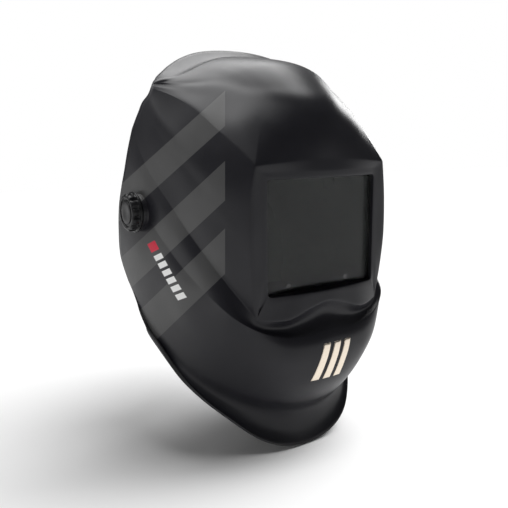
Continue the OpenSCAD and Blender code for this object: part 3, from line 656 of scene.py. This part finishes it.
ob = lathe("ratchet_grip", RK, M["knob"], "ratchet_wheel", (0, 0, -0.024), (0, 1, 0))
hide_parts("ratchet_knob")

# pivot bosses moulded on the shell
BOSS = [(97.9, 4.5, 0), (104.4, 4.5, 0), (104.8, 4.9, 0), (104.8, 15.3, 0), (104.65, 15.8, 0), (104.2, 16, 0), (102, 16.1, 0), (100, 16.5, 0), (98.6, 17.6, 0), (97.8, 19.4, 0), (97.2, 19.4, 0), (97.2, 5, 0)]
def tube(name, profile, mat, body, sgn, n=96):
    vs, fs = [], []
    for h, r, _ in profile:
        for k in range(n):
            th = 2*math.pi*k/n
            vs.append((sgn*h*MM, r*MM*math.cos(th), r*MM*math.sin(th)))
    m = len(profile)
    for i in range(m):
        for k in range(n):
            fs.append((i*n+k, i*n+(k+1) % n, ((i+1) % m)*n+(k+1) % n, ((i+1) % m)*n+k))
    return add_mesh(name, vs, fs, mat, body, sharp=40)


for sgn, nm in ((1, "left"), (-1, "right")):
    tube(f"pivot_boss_{nm}", BOSS, M["shell"], "shell", sgn)

# ------------------------------------------------------------------ chin bars, bent to the chin
def front_y(x, z):
    hit = SHELL_BVH.ray_cast(Vector((x*MM, -0.3, z*MM)), Vector((0, 1, 0)))
    return hit[0].y/MM, hit[1]


def chin_bars():
    vs, fs = [], []
    na, nb = 9, 25
    for xo in (-11, 0, 11):
        base = len(vs)
        rings = []
        for off, ins in ((-0.75, 0.55), (-0.5, 0.18), (-0.1, 0.0), (1.2, 0.0)):
            grid = []
            for b in range(nb):
                for a in range(na):
                    t, u = b/(nb-1), a/(na-1)
                    z = -15.5 + ins + (31 - 2*ins)*t
                    tt = (z + 15.5)/31
                    x0, x1 = -8 + 9*tt + ins, -1 + 9*tt - ins
                    x = xo + x0 + (x1 - x0)*u
                    y, _ = front_y(x, -125 + z)
                    grid.append((x*MM, (y + off)*MM, (-125 + z)*MM))
            rings.append(grid)
        top = rings[0]
        idx0 = len(vs); vs += top
        for b in range(nb-1):
            for a in range(na-1):
                i = idx0 + b*na + a
                fs.append((i, i+1, i+1+na, i+na))
        bot = len(vs); vs += rings[3]
        for b in range(nb-1):
            for a in range(na-1):
                i = bot + b*na + a
                fs.append((i, i+na, i+1+na, i+1))
        edge = [a for a in range(na)] + [b*na + na-1 for b in range(1, nb)] + [(nb-1)*na + a for a in range(na-2, -1, -1)] + [b*na for b in range(nb-2, 0, -1)]
        loops = [[idx0 + e for e in edge]]
        for g in rings[1:3]:
            st = len(vs); vs += [g[e] for e in edge]
            loops.append([st + q for q in range(len(edge))])
        loops.append([bot + e for e in edge])
        for la, lb in zip(loops, loops[1:]):
            for q in range(len(edge)):
                q2 = (q+1) % len(edge)
                fs.append((la[q], la[q2], lb[q2], lb[q]))
    ob = add_mesh("chin_bars", vs, fs, M["badge"], "shell", sharp=50)
    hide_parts("chin_badge")


chin_bars()

# ------------------------------------------------------------------ padded pieces
def pad(name, path, normal_in, z0, z1, thick, body, node_name, channels, flare=0.9):
    """A crowned pad along a path: path(t) gives the back face, normal_in(t) points to the head. Closed, with pinched stitched channels and soft ends."""
    nt_, ns_ = 181, 40
    vs, fs = [], []
    hz, zc = (z1 - z0)/2, (z1 + z0)/2
    for i in range(nt_):
        t = i/(nt_-1)
        p, n = path(t), normal_in(t)
        endf = min(1.0, (min(t, 1-t)/0.022))
        endf = math.sqrt(max(0.0, 1 - (1-endf)**2))
        ch = 0.0
        for c in channels:
            ch = max(ch, math.exp(-((t - c)/0.0045)**2))
        side_in = 0.8*(0.5 - 0.5*math.cos(2*math.pi*(t*(len(channels)+1))))
        for k in range(ns_):
            a = 2*math.pi*k/ns_
            ca, sa = math.cos(a), math.sin(a)
            # superellipse section: flat back, crowned front
            ez = abs(sa)**0.55*math.copysign(1, sa)
            ex = abs(ca)**0.8*math.copysign(1, ca)
            z = zc + (hz - flare*(1 - side_in))*ez*(0.82 + 0.18*endf)
            if ex >= 0:
                d = thick*(0.45 + 0.55*ex*(1 - 0.42*ch))
            else:
                d = thick*0.45*(1 + ex)
            # sewn line a little in from the long edges
            ed = abs(abs(z - zc) - (hz - 4.2))
            d -= 0.9*math.exp(-(ed/0.9)**2) * (1 if ex > 0.05 else 0)
            d = thick*0.45 + (d - thick*0.45)*endf
            vs.append(((p[0] + n[0]*d)*MM, (p[1] + n[1]*d)*MM, z*MM))
    for i in range(nt_-1):
        for k in range(ns_):
            k2 = (k+1) % ns_
            fs.append((i*ns_+k, i*ns_+k2, (i+1)*ns_+k2, (i+1)*ns_+k))
    fs.append(tuple(range(ns_-1, -1, -1)))
    fs.append(tuple((nt_-1)*ns_ + k for k in range(ns_)))
    ob = add_mesh(name, vs, fs, M["cloth"], body, sharp=70)
    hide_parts(node_name)
    return ob


def stitches(name, pts, body, length=2.6, gap=1.4, radius=0.28):
    """Short raised thread stitches along a line of points (mm), each one a small closed capsule."""
    pts = [Vector(p) for p in pts]
    vs, fs = [], []
    d, seg = 0.0, []
    total = [0.0]
    for a, b in zip(pts, pts[1:]):
        total.append(total[-1] + (b - a).length)
    def at(s):
        for i in range(len(total)-1):
            if total[i+1] >= s:
                f = (s - total[i])/max(1e-9, total[i+1]-total[i])
                return pts[i].lerp(pts[i+1], f)
        return pts[-1]
    s = gap
    while s + length < total[-1]:
        a, b = at(s), at(s + length)
        ax = (b - a).normalized()
        e1 = ax.orthogonal().normalized()
        e2 = ax.cross(e1)
        base = len(vs)
        for h, r in ((0, 0.1), (0.12, 0.7), (0.3, 1), (0.7, 1), (0.88, 0.7), (1, 0.1)):
            for k in range(6):
                th = 2*math.pi*k/6
                q = a.lerp(b, h) + (e1*math.cos(th) + e2*math.sin(th))*radius*r
                vs.append(q*MM)
        for i in range(5):
            for k in range(6):
                k2 = (k+1) % 6
                fs.append((base+i*6+k, base+i*6+k2, base+(i+1)*6+k2, base+(i+1)*6+k))
        fs.append(tuple(base + k for k in range(5, -1, -1)))
        fs.append(tuple(base + 30 + k for k in range(6)))
        s += length + gap
    return add_mesh(name, vs, fs, M["thread"], body, sharp=60)


def brow_path(t):
    a = math.radians(-66 + 132*t)
    return np.array([76.8*math.sin(a), 14 - 99.3*math.cos(a)])


def brow_in(t):
    a = math.radians(-66 + 132*t)
    n = np.array([-math.sin(a)/76.8, math.cos(a)/99.3])
    return n/np.linalg.norm(n)


brow = pad("brow_pad", brow_path, brow_in, -3, 31, 7.0, "headgear", "sweatband", [k/10 for k in range(1, 10)])


def rear_path(t):
    a = math.radians(-30.9 + 61.8*t)
    return np.array([70.0*math.sin(a), 58 + 51.6*math.cos(a)])


def rear_in(t):
    a = math.radians(-30.9 + 61.8*t)
    n = np.array([-math.sin(a)/70.0, -math.cos(a)/51.6])
    return n/np.linalg.norm(n)


rearp = pad("nape_pad", rear_path, rear_in, -39, -9, 8.0, "rear_unit", "rear_pad", [0.25, 0.5, 0.75])
for nm, path, inn, z0, z1, th, body in (("brow", brow_path, brow_in, -3, 31, 7.0, "headgear"), ("nape", rear_path, rear_in, -39, -9, 8.0, "rear_unit")):
    for e, zz in (("low", z0 + 4.4), ("high", z1 - 4.4)):
        pts = []
        for k in range(0, 121):
            t = 0.03 + 0.94*k/120
            p, n = path(t), inn(t)
            pts.append((p[0] + n[0]*(th*0.80), p[1] + n[1]*(th*0.80), zz))
        stitches(f"{nm}_stitch_{e}", pts, body)

# ------------------------------------------------------------------ CAD nodes kept, with their finishes
dress("outer_cover_lens", M["cover"], 0.2)
dress("inner_cover_lens", M["inner"], 0.2)
dress("lens_gasket", M["gasket"], 0.2)
dress(["adf_case_front", "adf_case_back"], M["case"], 0.35)
dress("filter_glass", M["filter"], 0.25)
dress("lcd_cell", M["lcd"], 0.2)
dress("solar_strip", M["solar"], 0.15)
dress("arc_sensors", M["sensor"], 0.3)
dress("circuit_board", M["board"], 0.15)
dress(["shade_dial", "sensitivity_dial", "delay_dial"], M["dial"], 0.2)
dress("test_button", M["button"], 0.3)
dress("mode_switch", M["switch"], 0.3)
dress("battery_drawer", M["case"], 0.3)
dress("coin_cell", M["steel"], 0.3)
dress(["retainer_frame", "latch_left", "latch_right"], M["case"], 0.4)
dress(["headband", "crown_strap_left", "crown_strap_right", "crown_strap_rear", "rear_strap"], M["band"], 0.5)
dress(["crown_pegs"], M["band"], 0.4)
dress(["temple_plate_left", "temple_plate_right", "carriage_left", "carriage_right"], M["band"], 0.6)
dress(["ratchet_housing", "ratchet_cover"], M["band"], 0.9)
dress("band_rivets", M["steel"], 0.3)
dress("ratchet_pinion", M["rack"], 0.1)
dress(["rack_left", "rack_right"], M["rack"], 0.1)
dress(["pivot_stud_left", "pivot_stud_right"], M["steel"], 0.25)
dress(["tilt_lever", "spacer_disc"], M["band"], 0.35)
dress(["friction_washer_left", "friction_washer_right"], M["fibre"], 0.2)
dress(["knob_washer_left", "knob_washer_right"], M["steel"], 0.15)
dress(["knob_insert_left", "knob_insert_right"], M["brass"], 0.15)

# ------------------------------------------------------------------ stage, light, camera
FLOOR_Z = CAD_BOX[0][2] - 0.0012


def floor():
    n, half = 41, 30.0
    vs = [((-1 + 2*i/(n-1))*half, (-1 + 2*j/(n-1))*half, FLOOR_Z) for j in range(n) for i in range(n)]
    fs = [(j*n+i, j*n+i+1, (j+1)*n+i+1, (j+1)*n+i) for j in range(n-1) for i in range(n-1)]
    me = bpy.data.meshes.new("stage_floor")
    me.from_pydata(vs, [], fs)
    m, nt, p = material("stage_pale")
    v = coords(nt)
    nt.links.new(mix_col(nt, remap(nt, noise_fac(nt, v, 3, 2), 0, 1), (0.86, 0.86, 0.86), (0.88, 0.88, 0.88)), p.inputs["Base Color"])
    p.inputs["Roughness"].default_value = 0.9
    p.inputs["Specular IOR Level"].default_value = 0.1
    me.materials.append(m)
    ob = bpy.data.objects.new("stage_floor", me)
    bpy.context.scene.collection.objects.link(ob)
    return ob


STAGE_FLOOR = floor()

sc = bpy.context.scene
sc.view_settings.view_transform = "Standard"
sc.view_settings.look = "None"
w = bpy.data.worlds.new("studio")
sc.world = w
w.use_nodes = True
nt = w.node_tree
bg = nt.nodes["Background"]
bg.inputs["Color"].default_value = (1, 1, 1, 1)
bg.inputs["Strength"].default_value = 0.09
out = nt.nodes["World Output"]
bg2 = nt.nodes.new("ShaderNodeBackground")
bg2.inputs["Color"].default_value = (1, 1, 1, 1)
bg2.inputs["Strength"].default_value = 1.0
lp = nt.nodes.new("ShaderNodeLightPath")
mx = nt.nodes.new("ShaderNodeMixShader")
nt.links.new(lp.outputs["Is Camera Ray"], mx.inputs[0])
nt.links.new(bg.outputs[0], mx.inputs[1])
nt.links.new(bg2.outputs[0], mx.inputs[2])
nt.links.new(mx.outputs[0], out.inputs["Surface"])

CAM = Vector((-0.3100061, -0.4971827, 0.0263309))
RIGHT = Vector((0.831291, -0.553712, -0.048559))
UP = Vector((0.111625, 0.080723, 0.990466))
BACK = Vector((-0.544514, -0.828786, 0.128912))


def area(name, pos, target, sx, sy, power, colour=(1, 1, 1)):
    d = bpy.data.lights.new(name, "AREA")
    d.shape = "RECTANGLE"
    d.size, d.size_y = sx, sy
    d.energy = power
    d.color = colour
    ob = bpy.data.objects.new(name, d)
    ob.location = pos
    ob.rotation_euler = (Vector(target) - Vector(pos)).to_track_quat("-Z", "Y").to_euler()
    sc.collection.objects.link(ob)
    return ob


sun = bpy.data.lights.new("soft_sun", "SUN")
sun.energy = 4.3
sun.angle = math.radians(56)
so = bpy.data.objects.new("soft_sun", sun)
so.rotation_euler = Vector((-0.52, 0.22, -1.0)).to_track_quat("-Z", "Y").to_euler()
sc.collection.objects.link(so)
area("soft_top", (0.0, 0.30, 1.15), (0, 0, 0.08), 1.6, 1.1, 27)
area("soft_right", (1.25, 0.52, 0.30), (0, 0, 0.0), 0.4, 0.9, 8)
area("soft_left", (-1.2, 0.95, 0.95), (0, 0, 0.03), 0.6, 0.9, 5)
# the broad sun is the floor's light and casts the helmet's shadow on it; the three panels light the helmet only
only_floor = bpy.data.collections.new("light_floor_only")
only_floor.objects.link(STAGE_FLOOR)
so.light_linking.receiver_collection = only_floor
not_floor = bpy.data.collections.new("light_not_floor")
not_floor.objects.link(STAGE_FLOOR)
not_floor.collection_objects[0].light_linking.link_state = "EXCLUDE"
for o in [o for o in sc.objects if o.type == "LIGHT" and o != so]:
    o.light_linking.receiver_collection = not_floor

cam = bpy.data.cameras.new("camera")
cam.lens = 42.52
cam.sensor_width = 36.0
cam.clip_start = 0.01
co = bpy.data.objects.new("camera", cam)
mw = Matrix.Identity(4)
for c, vec in enumerate((RIGHT, UP, BACK, CAM)):
    for r in range(3):
        mw[r][c] = vec[r]
co.matrix_world = mw
sc.collection.objects.link(co)
sc.camera = co
